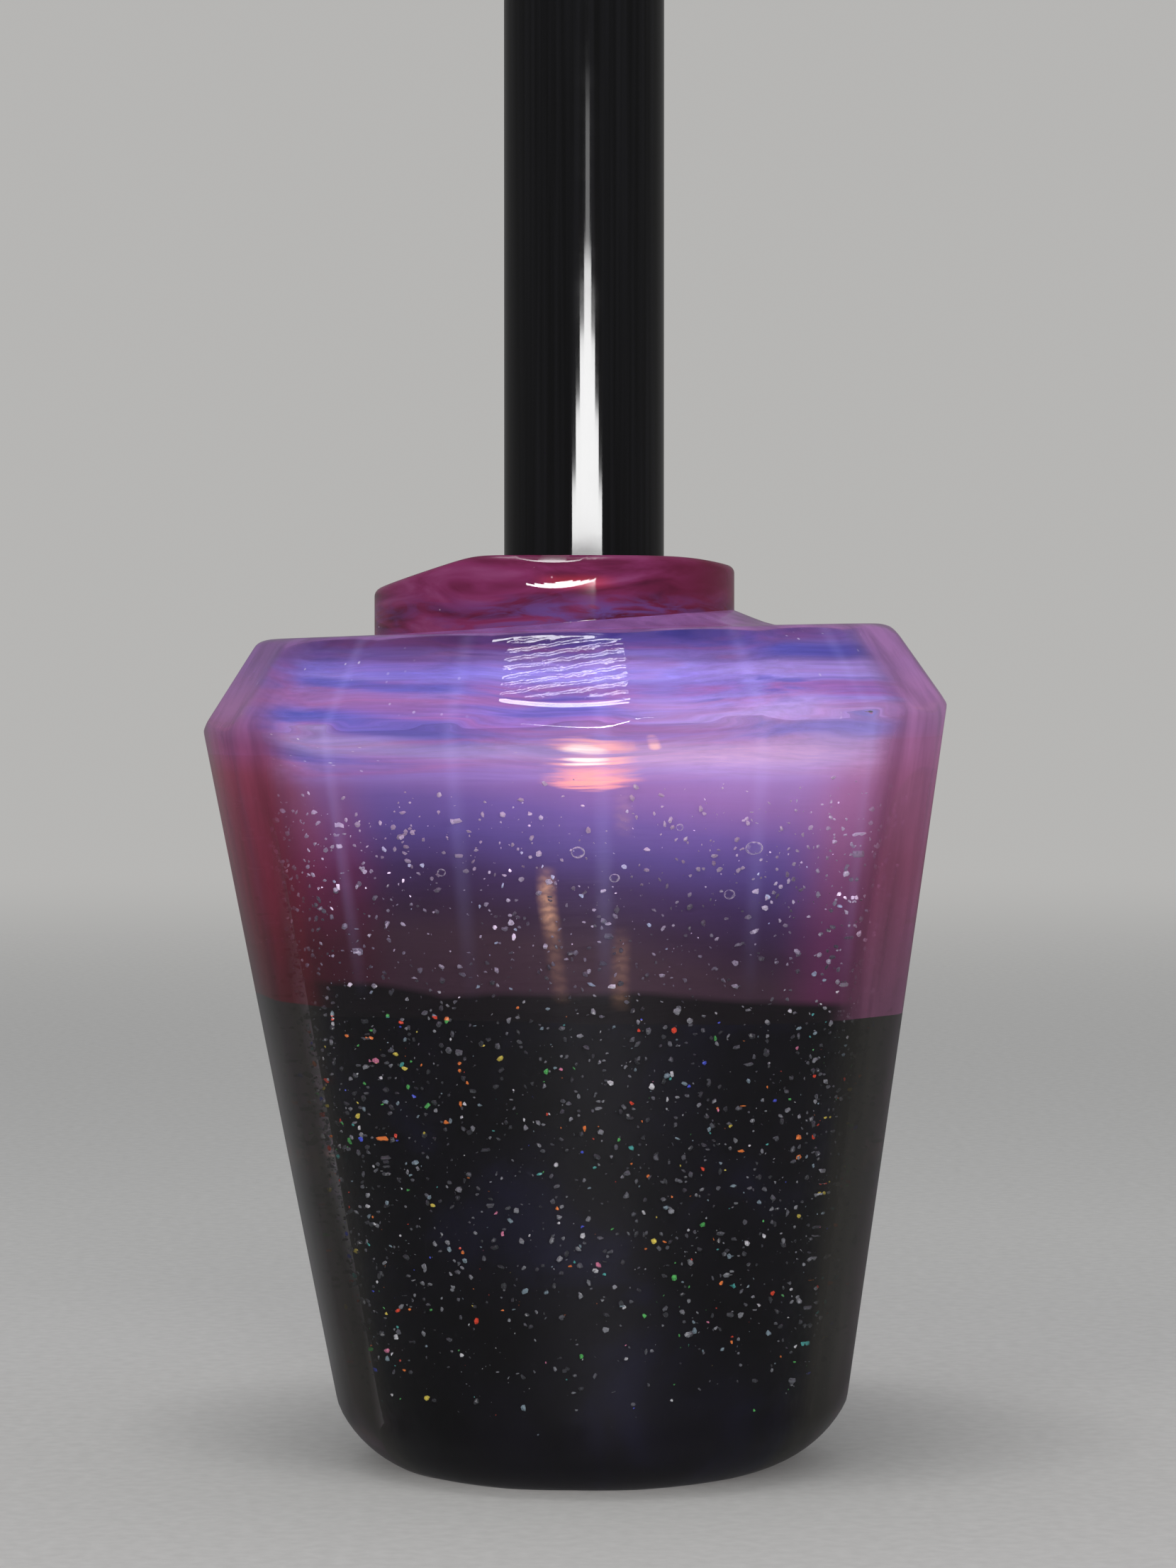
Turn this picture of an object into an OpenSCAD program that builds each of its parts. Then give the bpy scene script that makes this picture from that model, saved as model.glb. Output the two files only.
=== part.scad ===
// A club that stands on its heavy cast head with the handle upright.
// Millimetres. The origin is on the table below the handle's axis, +Z runs up the handle, and the
// front faces -Y. The head is a stack of tinted castings, hand cut, so it leans and its levels slope.

/* [Overall] */
// Length of the club, from the foot of the head to the top of the knob
club_length = 400; // [340:5:560]
// Outside diameter of the handle
handle_d = 20; // [18:0.5:24]

/* [Head] */
// Diameter at the girth, where the flank and the chamfer would meet
girth_d = 94; // [84:0.5:104]
// Height of the girth above the table
girth_height = 93.5; // [84:0.5:96]
// Diameter that the straight flank would have at the table
foot_d = 62.5; // [52:0.5:68]
// Radius of the rounded edge at the foot
foot_round = 15; // [8:0.5:18]
// Diameter of the flat top, where it would meet the chamfer
shoulder_d = 80; // [70:0.5:84]
// Height of the flat top above the girth
shoulder_rise = 10.5; // [7:0.5:14]
// Radius of the rounded girth
girth_round = 5; // [2:0.5:7]
// Radius of the rounded shoulder edge
shoulder_round = 4.5; // [1:0.5:6]
// Lean of the head to the left, in degrees
head_lean = 1.5; // [0:0.1:2.5]
// Number of flat facets round the flank and the chamfer
facet_count = 16; // [12:1:20]
// Depth of a facet below the turned shape
facet_depth = 0.75; // [0.4:0.05:0.9]
// Turn of the facets from the front, in degrees
facet_phase = 16; // [0:0.5:30]
// Most that a hand-cut facet strays from even spacing, in degrees
facet_wander = 2.5; // [0:0.5:4]
// Turn of the chamfer's facets against the flank's, in degrees
chamfer_turn = 4.5; // [0:0.5:10]

/* [Castings] */
// Height where the clear casting ends and the tinted ones start
split_height = 58; // [45:0.5:70]
// Slope of that level, down to the right, in degrees
split_tilt = 1.5; // [0:0.1:3]
// Depth below the girth where the rose casting ends and the violet one covers it
band_depth = 3.5; // [2:0.5:12]
// Diameter of the core at the split
core_d = 46; // [36:0.5:56]
// Slope of the core's side from the vertical, in degrees
core_taper = 6; // [2:0.5:9]
// Height of the core's foot above the table
core_foot = 2.5; // [2:0.5:12]
// Radius of the core's rounded foot edge
core_round = 8; // [3:0.5:10]

/* [Collar] */
// Diameter of the collar
collar_d = 45; // [40:0.5:52]
// Height of the collar's top above the shoulder
collar_rise = 9.3; // [8:0.1:14]
// Distance from the handle's axis to the collar's, to the left
collar_shift = 3.7; // [0:0.1:5]
// Height of the collar's seat above the shoulder, on the handle's axis
seat_rise = 1.1; // [0.5:0.1:2]
// Slope of that seat, up to the right, in degrees
seat_tilt = 4.7; // [0:0.1:6]
// Slope of the skirt that the violet casting rises by to the seat, in degrees
skirt_slope = 22; // [18:1:40]
// Radius of the collar's top edge
collar_round = 1; // [0.4:0.1:2]
// Distance from the collar's axis to the slanting cut across its left side
cut_start = 9; // [8:0.5:16]
// Slope of that cut, down to the left, in degrees
cut_tilt = 17; // [5:1:22]
// Depth of the socket that the handle stands in
socket_depth = 5.5; // [4:0.1:6]

/* [Stud] */
// Diameter of the threaded stud
stud_d = 8; // [6:0.5:9]
// Pitch of its thread
stud_pitch = 1.25; // [1:0.05:1.5]
// Turns of thread that hold the handle
thread_turns = 16; // [8:1:20]
// Height of the stud's lower end above the table
stud_foot = 27; // [20:0.5:40]
// Bevel at each end of the stud
stud_bevel = 0.8; // [0.3:0.1:1.2]

/* [Handle] */
// Wall of the outer sleeve
sleeve_wall = 1.5; // [1:0.1:2]
// Diameter of the wooden dowel
dowel_d = 15; // [14:0.1:15.4]
// Outside diameter of the threaded insert in the dowel
insert_d = 11.5; // [10.5:0.1:12.5]
// Depth of the dowel's hole past the end of the stud
stud_tip_room = 3; // [1:0.5:8]
// Thickness of the bush's rim under the sleeve
bush_rim = 2; // [1:0.1:3]
// Height of the bush's spigot inside the sleeve
bush_spigot = 6; // [3:0.5:12]
// Thickness of the washer under the handle
washer_t = 1.5; // [0.8:0.1:2]

/* [Knob] */
// Diameter of the knob
knob_d = 36; // [30:0.5:44]
// Diameter of its neck
neck_d = 25; // [25:0.5:29]
// Depth that the handle reaches into the knob
knob_grip = 20; // [14:0.5:26]
// Thickness of the knob under the washer
knob_floor = 6; // [4:0.5:10]
// Depth of the screw's well in the top of the knob
well_depth = 10; // [9:0.5:14]
// Diameter of that well
well_d = 14; // [13:0.5:18]
// Length of the knob's straight rim, with its rounded edges
rim_height = 17; // [15:0.5:20]
// Radius of the knob's top edge
knob_round = 7; // [3:0.5:8]
// Radius where the neck widens to the rim
knob_flare = 8; // [3:0.5:12]
// Radius of the neck's lower edge
neck_round = 1.2; // [0.5:0.1:2]
// Diameter of the wood screw
screw_d = 5; // [4:0.25:6]
// Length of the screw under its head
screw_length = 32; // [24:1:45]
// Diameter of the screw's head
screw_head_d = 9.6; // [9:0.1:11]
// Height of the screw's head
screw_head_h = 3.6; // [2.5:0.1:4]
// Width of the hexagon socket in that head, across its corners
screw_socket_d = 4.6; // [3:0.1:5]
// Depth of that socket
screw_socket_h = 2; // [1:0.1:2.2]
// Thickness of the steel washer under the screw
steel_washer_t = 1.2; // [0.8:0.1:1.6]
// Thickness of the plug that closes the well
plug_t = 3.6; // [2:0.1:4]

/* [Fits] */
// Glue line round a bonded or pressed-in piece
bond_gap = 0.05; // [0.02:0.01:0.1]
// Radial clearance of the insert on the stud
thread_gap = 0.06; // [0.02:0.01:0.1]
// Radial clearance of the handle in the collar
socket_gap = 0.2; // [0.1:0.05:0.4]
// Radial clearance of a washer, a screw hole or the stud's tip
loose_gap = 0.3; // [0.2:0.05:0.5]

/* [Hidden] */
$fn = 96;
// Larger than any piece, for cuts that go right through
reach = 2 * club_length;
flank_angle = atan((girth_d - foot_d) / 2 / girth_height);
chamfer_angle = atan((girth_d - shoulder_d) / 2 / shoulder_rise);
shoulder_height = girth_height + shoulder_rise;
band_top = girth_height - band_depth;
// The turned foot starts this far under the table, so that the leaning head still gets a flat foot
foot_sink = foot_d / 2 * sin(head_lean) + bond_gap;
collar_r = collar_d / 2;
collar_top = shoulder_height + collar_rise;
seat_height = shoulder_height + seat_rise;
// Height of the seat at the collar's right edge, which is its highest point
seat_high = seat_height + (collar_r - collar_shift) * tan(seat_tilt);
// The skirt and the core's plug start this deep in the violet casting
cap_bite = (shoulder_height - band_top) / 3;
skirt_h = seat_high - shoulder_height + cap_bite;
socket_floor = collar_top - socket_depth;
handle_foot = socket_floor + washer_t;
thread_length = thread_turns * stud_pitch;
stud_top = handle_foot + thread_length;
sleeve_foot = handle_foot + bush_rim;
liner_foot = sleeve_foot + bush_spigot;
sleeve_bore = handle_d - 2 * sleeve_wall;
well_floor = club_length - well_depth;
handle_top = well_floor - knob_floor;
knob_foot = handle_top - knob_grip;
rim_foot = club_length - rim_height;
screw_seat = well_floor + steel_washer_t;

function unit(v) = v / norm(v);

// Half the angle at corner b of the path a, b, c
function half_angle(a, b, c) = acos(unit(a - b) * unit(c - b)) / 2;

// Centre of the arc of radius r that rounds that corner
function arc_centre(a, b, c, r) = b + unit(unit(a - b) + unit(c - b)) * r / sin(half_angle(a, b, c));

// The two points where the arc meets the straight sides
function arc_ends(a, b, c, r) =
    let (back = r / tan(half_angle(a, b, c)))
    [b + unit(a - b) * back, b + unit(c - b) * back];

// Radius of the turned flank at a height
function flank_r(z) = foot_d / 2 + z * tan(flank_angle);

// Radius of the core's side at a height
function core_r(z) = core_d / 2 + (z - split_height) * tan(core_taper);

// Direction that facet i faces: evenly spaced, with a small hand-cut wander
function facet_turn(i) = facet_phase - 90 + i * 360 / facet_count + facet_wander * sin(140 * i);

// An outline with a radius at each corner, rounded by true arcs, for corners that all point outwards
module rounded_outline(points, radii) {
    last = len(points) - 1;
    before = [for (i = [0:last]) points[i == 0 ? last : i - 1]];
    after = [for (i = [0:last]) points[i == last ? 0 : i + 1]];
    polygon([for (i = [0:last]) each radii[i] > 0
        ? arc_ends(before[i], points[i], after[i], radii[i])
        : [points[i]]]);
    for (i = [0:last])
        if (radii[i] > 0)
            translate(arc_centre(before[i], points[i], after[i], radii[i]))
                circle(radii[i]);
}

// Turns such an outline about the Z axis
module turned(points, radii) {
    rotate_extrude()
        intersection() {
            rounded_outline(points, radii);
            translate([0, -reach])
                square([reach, 2 * reach]);
        }
}

// A round bar along Z between two heights
module bar(d, low, high) {
    translate([0, 0, low])
        cylinder(d = d, h = high - low);
}

// A tube along Z between two heights
module tube(outer_d, inner_d, low, high) {
    difference() {
        bar(outer_d, low, high);
        bar(inner_d, low - 1, high + 1);
    }
}

// Everything below a level that slopes down to the right by tilt
module below(height, tilt) {
    translate([0, 0, height])
        rotate([0, tilt, 0])
            translate([-reach / 2, -reach / 2, -reach])
                cube(reach);
}

// Everything above such a level
module above(height, tilt) {
    translate([0, 0, height])
        rotate([0, tilt, 0])
            translate([-reach / 2, -reach / 2, 0])
                cube(reach);
}

// Tilts the head about the point where the handle's axis meets the split
module leaning() {
    translate([0, 0, split_height])
        rotate([0, -head_lean, 0])
            translate([0, 0, -split_height])
                children();
}

// Moves a shape onto the collar's axis
module on_collar_axis() {
    translate([-collar_shift, 0, 0])
        children();
}

// All that lies outside a plane at a facet's depth below a turned slope, given by a point and its angle
module facet_cut(r, height, angle) {
    translate([r - facet_depth / cos(angle), 0, height])
        rotate([0, angle, 0])
            translate([0, -reach / 2, -reach / 2])
                cube(reach);
}

// The plane cuts that make the facets of the flank and of the chamfer above it
module facets() {
    for (i = [0:facet_count - 1])
        rotate(facet_turn(i)) {
            facet_cut(foot_d / 2, 0, flank_angle);
            rotate(chamfer_turn)
                facet_cut(girth_d / 2, girth_height, -chamfer_angle);
        }
}

// The whole head as one turned, facetted block with a flat foot
module head_form() {
    difference() {
        leaning()
            difference() {
                turned([[0, -foot_sink], [flank_r(-foot_sink), -foot_sink], [girth_d / 2, girth_height],
                    [shoulder_d / 2, shoulder_height], [0, shoulder_height]],
                    [0, foot_round, girth_round, shoulder_round, 0]);
                facets();
            }
        below(0, 0);
    }
}

// The core, from its foot up into the violet casting, grown by a gap for the space round it
module core_form(gap) {
    low = core_foot - gap;
    high = band_top + cap_bite;
    leaning()
        turned([[0, low], [core_r(low) + gap, low], [core_r(high) + gap, high], [0, high]],
            [0, core_round, 0, 0]);
}

// The hole that the stud is bonded into
module stud_hole() {
    bar(stud_d + 2 * bond_gap, stud_foot, collar_top);
}

// Clear casting: the lower half of the head, a thick cup with a rounded foot
module clear_base() {
    color("lightgray", 0.4)
        difference() {
            intersection() {
                head_form();
                below(split_height, split_tilt);
            }
            core_form(bond_gap);
        }
}

// Black core inside the clear casting
module black_core() {
    color("black")
        difference() {
            intersection() {
                core_form(0);
                below(split_height, split_tilt);
            }
            stud_hole();
        }
}

// Rose casting: the ring between the split and the violet casting
module rose_band() {
    color("palevioletred", 0.5)
        difference() {
            intersection() {
                head_form();
                above(split_height, split_tilt);
                leaning()
                    below(band_top, 0);
            }
            core_form(bond_gap);
        }
}

// Violet casting: the girth, chamfer and shoulder, with a plug down to the black core and a skirt
// up to the collar's sloping seat
module violet_crown() {
    color("mediumpurple")
        difference() {
            union() {
                intersection() {
                    head_form();
                    leaning()
                        above(band_top, 0);
                }
                intersection() {
                    core_form(0);
                    above(split_height, split_tilt);
                }
                intersection() {
                    on_collar_axis()
                        translate([0, 0, seat_high - skirt_h])
                            cylinder(h = skirt_h, r1 = collar_r + skirt_h / tan(skirt_slope), r2 = collar_r);
                    below(seat_height, -seat_tilt);
                }
            }
            intersection() {
                on_collar_axis()
                    bar(collar_d + 2 * bond_gap, band_top, collar_top);
                above(seat_height, -seat_tilt);
            }
            stud_hole();
        }
}

// Raspberry collar: off the handle's axis, on a sloping seat, cut at a slant on its left
module collar() {
    color("crimson", 0.7)
        difference() {
            intersection() {
                on_collar_axis()
                    turned([[0, band_top], [collar_r, band_top], [collar_r, collar_top], [0, collar_top]],
                        [0, 0, collar_round, 0]);
                above(seat_height, -seat_tilt);
            }
            translate([-collar_shift - cut_start, 0, collar_top])
                rotate([0, -cut_tilt, 0])
                    translate([-reach, -reach / 2, 0])
                        cube(reach);
            bar(handle_d + 2 * socket_gap, socket_floor, collar_top + 1);
            stud_hole();
        }
}

// Threaded stud, bonded into the head, that the handle screws onto
module stud() {
    color("goldenrod")
        turned([[0, stud_foot], [stud_d / 2 - stud_bevel, stud_foot], [stud_d / 2, stud_foot + stud_bevel],
            [stud_d / 2, stud_top - stud_bevel], [stud_d / 2 - stud_bevel, stud_top], [0, stud_top]],
            [0, 0, 0, 0, 0, 0]);
}

// Soft washer in the bottom of the collar's socket
module seat_washer() {
    color("dimgray")
        tube(handle_d - 2 * loose_gap, stud_d + 2 * loose_gap, socket_floor, handle_foot);
}

// Bush that closes the handle's lower end and centres the sleeve on the dowel
module foot_bush() {
    color("black")
        difference() {
            union() {
                bar(handle_d, handle_foot, sleeve_foot);
                bar(sleeve_bore - 2 * bond_gap, handle_foot, liner_foot);
            }
            bar(dowel_d + 2 * bond_gap, handle_foot - 1, liner_foot + 1);
        }
}

// Threaded insert in the dowel's lower end
module thread_insert() {
    color("gold")
        tube(insert_d, stud_d + 2 * thread_gap, handle_foot, stud_top);
}

// Wooden dowel through the whole handle
module dowel() {
    color("burlywood")
        difference() {
            bar(dowel_d, handle_foot, handle_top);
            bar(insert_d + 2 * bond_gap, handle_foot - 1, stud_top);
            bar(stud_d + 2 * loose_gap, handle_foot, stud_top + stud_tip_room);
            bar(screw_d + 2 * bond_gap, screw_seat - screw_length, handle_top + 1);
        }
}

// Foam between the dowel and the sleeve
module foam_liner() {
    color("whitesmoke")
        tube(sleeve_bore - 2 * bond_gap, dowel_d + 2 * bond_gap, liner_foot, handle_top);
}

// Glossy outer sleeve of the handle
module handle_sleeve() {
    color([0.03, 0.03, 0.035])
        tube(handle_d, sleeve_bore, sleeve_foot, handle_top);
}

// Rubber knob on the end of the handle
module knob() {
    color([0.06, 0.06, 0.065])
        difference() {
            turned([[0, knob_foot], [neck_d / 2, knob_foot], [knob_d / 2, rim_foot], [knob_d / 2, club_length],
                [0, club_length]],
                [0, neck_round, knob_flare, knob_round, 0]);
            bar(handle_d + 2 * bond_gap, knob_foot - 1, handle_top);
            bar(screw_d + 2 * loose_gap, handle_top - 1, well_floor + 1);
            bar(well_d, well_floor, club_length + 1);
        }
}

// Steel washer on the floor of the knob's well
module knob_washer() {
    color("silver")
        tube(well_d - 2 * loose_gap, screw_d + 2 * loose_gap, well_floor, screw_seat);
}

// Wood screw that holds the knob on the dowel
module knob_screw() {
    color("silver")
        difference() {
            union() {
                bar(screw_head_d, screw_seat, screw_seat + screw_head_h);
                bar(screw_d, screw_seat - screw_length, screw_seat + screw_head_h);
            }
            translate([0, 0, screw_seat + screw_head_h - screw_socket_h])
                cylinder(d = screw_socket_d, h = screw_socket_h + 1, $fn = 6);
        }
}

// Plug that closes the well
module knob_plug() {
    color([0.06, 0.06, 0.065])
        bar(well_d - 2 * bond_gap, club_length - plug_t, club_length);
}

clear_base();
black_core();
rose_band();
violet_crown();
collar();
stud();
seat_washer();
foot_bush();
thread_insert();
dowel();
foam_liner();
handle_sleeve();
knob();
knob_washer();
knob_screw();
knob_plug();
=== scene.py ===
import math
from math import radians

import bmesh
import bpy
import numpy as np
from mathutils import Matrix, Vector


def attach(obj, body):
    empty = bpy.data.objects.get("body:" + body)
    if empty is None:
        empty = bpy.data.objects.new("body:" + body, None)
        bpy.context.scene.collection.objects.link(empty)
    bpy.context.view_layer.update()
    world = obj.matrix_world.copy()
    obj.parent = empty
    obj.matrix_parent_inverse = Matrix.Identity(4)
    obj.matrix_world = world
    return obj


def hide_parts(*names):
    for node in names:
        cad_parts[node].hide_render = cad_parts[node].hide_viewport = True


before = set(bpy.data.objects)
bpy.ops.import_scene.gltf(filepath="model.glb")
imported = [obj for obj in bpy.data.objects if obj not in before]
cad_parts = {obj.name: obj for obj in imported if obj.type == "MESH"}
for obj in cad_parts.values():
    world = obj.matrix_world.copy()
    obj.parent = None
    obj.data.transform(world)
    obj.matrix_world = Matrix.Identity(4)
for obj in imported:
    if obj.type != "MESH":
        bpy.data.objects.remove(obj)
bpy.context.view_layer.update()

# Black core
# The dark inside of the head, a blunt peg of black resin that was cast first and ground to a taper.
# It is bonded into the clear casting, so it has no gloss of its own there.
MM, full_turn = 0.001, 2 * math.pi
split_height, split_slope, head_lean = 58.0, radians(1.5), radians(1.5)
core_d, core_taper, core_foot, core_round, core_reach = 46.0, radians(6.0), 2.5, 8.0, 90.0
stud_d, stud_foot, bond_gap, core_ledge = 8.0, 27.0, 0.05, 13.0
facet_count, facet_phase, facet_wander = 16, 16.0, 2.5
facet_turns = np.radians([
    facet_phase - 90 + i * 360 / facet_count + facet_wander * math.sin(radians(140 * i))
    for i in range(facet_count)])
facet_edges = (facet_turns + np.append(facet_turns[1:], facet_turns[0] + full_turn)) / 2
chamfer_turn, edge_step, sharp_angle = radians(4.5), 0.006, radians(38)
# Stations round the head, close together at every facet edge of the flank and of the chamfer
around = np.concatenate([np.concatenate([
    [a], np.linspace(a + edge_step, a + chamfer_turn - edge_step, 4), [a + chamfer_turn],
    np.linspace(a + chamfer_turn + edge_step, b - edge_step, 11)])
    for a, b in zip(facet_edges, np.append(facet_edges[1:], facet_edges[0] + full_turn))])
facet_gap = np.abs((around[:, None] - facet_edges + math.pi) % full_turn - math.pi).min(1)


def ring(radius, height, turns=around):
    """A loop of points about the Z axis; radius and height may vary round it."""
    return np.stack([radius * np.cos(turns), radius * np.sin(turns), height * np.ones_like(turns)], 1)


def pole(height):
    return np.array([[0.0, 0.0, height]])


def leaning(points):
    """Tilts points of the head to the left about the point where the handle's axis meets the split."""
    x, y, z = points[:, 0], points[:, 1], points[:, 2] - split_height
    c, s = math.cos(head_lean), math.sin(head_lean)
    return np.stack([x * c - z * s, y, np.maximum(x * s + z * c + split_height, 0)], 1)


def on_split(radius_at):
    """Height of the sloping split round a wall, measured along the leaning head."""
    height = np.full_like(around, split_height)
    for _ in range(6):
        height = split_height - radius_at(height) * np.cos(around) * math.tan(split_slope + head_lean)
    return height


def rounded(a, b, c, radius, steps):
    """Points of the arc that rounds corner b of the path a, b, c, as radius and height."""
    a, b, c = (np.array(p, float) for p in (a, b, c))
    u, v = (a - b) / np.linalg.norm(a - b), (c - b) / np.linalg.norm(c - b)
    half = math.acos(u @ v) / 2
    centre = b + (u + v) / np.linalg.norm(u + v) * radius / math.sin(half)
    start, end = b + u * radius / math.tan(half) - centre, b + v * radius / math.tan(half) - centre
    sweep = math.pi - 2 * half
    share = np.linspace(0, 1, steps + 1)[:, None]
    return centre + (np.sin((1 - share) * sweep) * start + np.sin(share * sweep) * end) / math.sin(sweep)


def placed(name, data):
    """A new object in the scene."""
    piece = bpy.data.objects.new(name, data)
    bpy.context.scene.collection.objects.link(piece)
    return piece


def skin(name, loops, finishes, bands=None, wrap=False):
    """A closed mesh through loops of points in millimetres. A loop of one point is a pole."""
    starts = np.cumsum([0] + [len(loop) for loop in loops])
    pairs = [(k, k + 1) for k in range(len(loops) - 1)] + ([(len(loops) - 1, 0)] if wrap else [])
    faces, tags = [], []
    for k, (low, high) in enumerate(pairs):
        a, b = int(starts[low]), int(starts[high])
        count = max(len(loops[low]), len(loops[high]))
        for i in range(count):
            j = (i + 1) % count
            if len(loops[low]) == 1:
                faces.append((a, b + j, b + i))
            elif len(loops[high]) == 1:
                faces.append((a + i, a + j, b))
            else:
                faces.append((a + i, a + j, b + j, b + i))
            tags.append(bands[k] if bands else 0)
    mesh = bpy.data.meshes.new(name)
    mesh.from_pydata((np.concatenate(loops) * MM).tolist(), [], faces)
    for finish in finishes:
        mesh.materials.append(finish)
    mesh.polygons.foreach_set("material_index", tags)
    shell = bmesh.new()
    shell.from_mesh(mesh)
    bmesh.ops.recalc_face_normals(shell, faces=shell.faces)
    shell.to_mesh(mesh)
    shell.free()
    if max(len(loop) for loop in loops) == len(facet_gap):
        edge = mesh.attributes.new("facet_edge", "FLOAT", "POINT")
        edge.data.foreach_set("value", np.concatenate([
            np.hypot(loop[:, 0], loop[:, 1]) * (facet_gap if len(loop) > 1 else 0) * MM for loop in loops
        ]).astype(np.float32))
    mesh.shade_smooth()
    mesh.set_sharp_from_angle(angle=sharp_angle)
    return placed(name, mesh)


def new_finish(name):
    """An empty material and its node tree."""
    finish = bpy.data.materials.new(name)
    finish.use_nodes = True
    finish.node_tree.nodes.clear()
    return finish, finish.node_tree


def add(tree, kind, inputs=None, **settings):
    """Adds a node, and sets or links its inputs."""
    node = tree.nodes.new(kind)
    for key, value in settings.items():
        setattr(node, key, value)
    for key, value in (inputs or {}).items():
        if isinstance(value, bpy.types.NodeSocket):
            tree.links.new(value, node.inputs[key])
        else:
            node.inputs[key].default_value = value
    return node


def finished(tree, shader, kind="ShaderNodeOutputMaterial"):
    """Ends a tree with a shader."""
    add(tree, kind, {"Surface": shader.outputs[0]})


def coat(tree, inputs):
    """Ends a material with one surface."""
    finished(tree, add(tree, "ShaderNodeBsdfPrincipled", inputs))


def where(tree):
    return add(tree, "ShaderNodeTexCoord").outputs["Object"]


def split(tree, vector):
    return add(tree, "ShaderNodeSeparateXYZ", {0: vector}).outputs


def calc(tree, operation, a, b=0.0):
    return add(tree, "ShaderNodeMath", {0: a, 1: b}, operation=operation).outputs[0]


def plus(tree, first, *rest):
    for value in rest:
        first = calc(tree, "ADD", first, value)
    return first


def times(tree, first, *rest):
    for value in rest:
        first = calc(tree, "MULTIPLY", first, value)
    return first


def swing(tree, value, span):
    """A noise turned into a value about nought."""
    return times(tree, calc(tree, "SUBTRACT", value, 0.5), span)


def distance(tree, a, b):
    return calc(tree, "ABSOLUTE", calc(tree, "SUBTRACT", a, b))


def mapped(tree, value, start, end, low=0.0, high=1.0, form="LINEAR"):
    """Goes from low to high while a value goes from start to end."""
    return add(tree, "ShaderNodeMapRange", {0: value, 1: start, 2: end, 3: low, 4: high},
               interpolation_type=form).outputs[0]


def eased(tree, value, start, end, low=0.0, high=1.0):
    return mapped(tree, value, start, end, low, high, "SMOOTHSTEP")


def noise(tree, place, scale, detail, **more):
    return add(tree, "ShaderNodeTexNoise", {
        "Vector": place, "Scale": scale, "Detail": detail, **more}).outputs["Fac"]


def stretched(tree, place, scale, turn=(0, 0, 0)):
    return add(tree, "ShaderNodeMapping", {"Vector": place, "Scale": scale, "Rotation": turn}).outputs[0]


def vector(tree, operation, *terms, **more):
    inputs = {**dict(enumerate(terms)), **more}
    return add(tree, "ShaderNodeVectorMath", inputs, operation=operation).outputs[0]


def bumped(tree, height, strength, depth, normal=None):
    """A normal with a relief of the given depth in metres."""
    inputs = {"Height": height, "Strength": strength, "Distance": depth}
    return add(tree, "ShaderNodeBump", {**inputs, "Normal": normal} if normal else inputs).outputs[0]


def ramp(tree, value, stops, interpolation="LINEAR"):
    """Colours along a value, from pairs of place and colour."""
    node = add(tree, "ShaderNodeValToRGB", {"Fac": value})
    node.color_ramp.interpolation = interpolation
    while len(node.color_ramp.elements) < len(stops):
        node.color_ramp.elements.new(1)
    for element, (place, colour) in zip(node.color_ramp.elements, stops):
        element.position, element.color = place, (*colour, 1)
    return node.outputs["Color"]


def curve(tree, value, stops):
    """Numbers along a value, from pairs of place and number."""
    return ramp(tree, value, [(place, (number,) * 3) for place, number in stops])


def mixed(tree, share, a, b, blend="MIX"):
    """Mixes two colours."""
    a, b = ((*c, 1) if isinstance(c, tuple) else c for c in (a, b))
    node = add(tree, "ShaderNodeMix", {0: share, 6: a, 7: b}, data_type="RGBA", blend_type=blend)
    return node.outputs[2]


def core_r(height):
    return core_d / 2 + (height - split_height) * math.tan(core_taper)


def core_wall(gap):
    """Loops of the core's wall from the split down to its foot, grown by a gap."""
    top = on_split(lambda height: core_r(height) + gap)
    foot = core_foot - gap
    corner, above = ((core_r(height) + gap, height) for height in (foot, core_reach))
    bend = rounded((0, foot), corner, above, core_round, 10)
    loops = []
    for share in np.linspace(0, 1, 14):
        height = top + share * (bend[-1][1] - top)
        loops.append(ring(core_r(height) + gap, height))
    loops += [ring(r, z) for r, z in bend[-2::-1]]
    loops += [ring(bend[0][0] * 0.5, foot), pole(foot)]
    return [leaning(loop) for loop in loops]


core_black, tree = new_finish("core_black")
place = where(tree)
cloud = noise(tree, place, 60, 4, Distortion=0.8)
fine = noise(tree, place, 900, 3)
shade = ramp(tree, cloud, [
    (0.35, (0.004, 0.0035, 0.005)), (0.55, (0.007, 0.006, 0.011)), (0.72, (0.013, 0.012, 0.032))])
dust = ramp(tree, fine, [(0.68, (0, 0, 0)), (0.85, (0.015, 0.015, 0.018))])
coat(tree, {
    "Base Color": mixed(tree, 1.0, shade, dust, "ADD"), "Specular IOR Level": 0.12,
    "Roughness": plus(tree, times(tree, fine, 0.3), 0.35), "Normal": bumped(tree, cloud, 0.2, 0.0006)})

hole_r = stud_d / 2 + bond_gap
hole = [pole(stud_foot), ring(hole_r, stud_foot)]
hole += [leaning(ring(r, on_split(lambda height: r))) for r in (hole_r, core_ledge)]
core = skin("core_cast", hole + core_wall(0), [core_black])
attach(core, "head")
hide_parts("black_core")

# Clear casting
# The lower half of the head, a thick cup of smoky clear resin poured round the core. It was turned,
# then ground by hand to sixteen soft facets and polished; its inside is wetted by the bond.
girth_d, girth_height, foot_d, foot_round = 94.0, 93.5, 62.5, 15.0
shoulder_d, shoulder_height = 80.0, 104.0
facet_depth, facet_soft, facet_reach, far_off = 0.75, 0.09, 0.7, 1e3
flank_slope = (girth_d - foot_d) / 2 / girth_height
chamfer_slope = (girth_d - shoulder_d) / 2 / (shoulder_height - girth_height)
foot_sink = foot_d / 2 * math.sin(head_lean) + bond_gap


def flank_r(height):
    return foot_d / 2 + height * flank_slope


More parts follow.
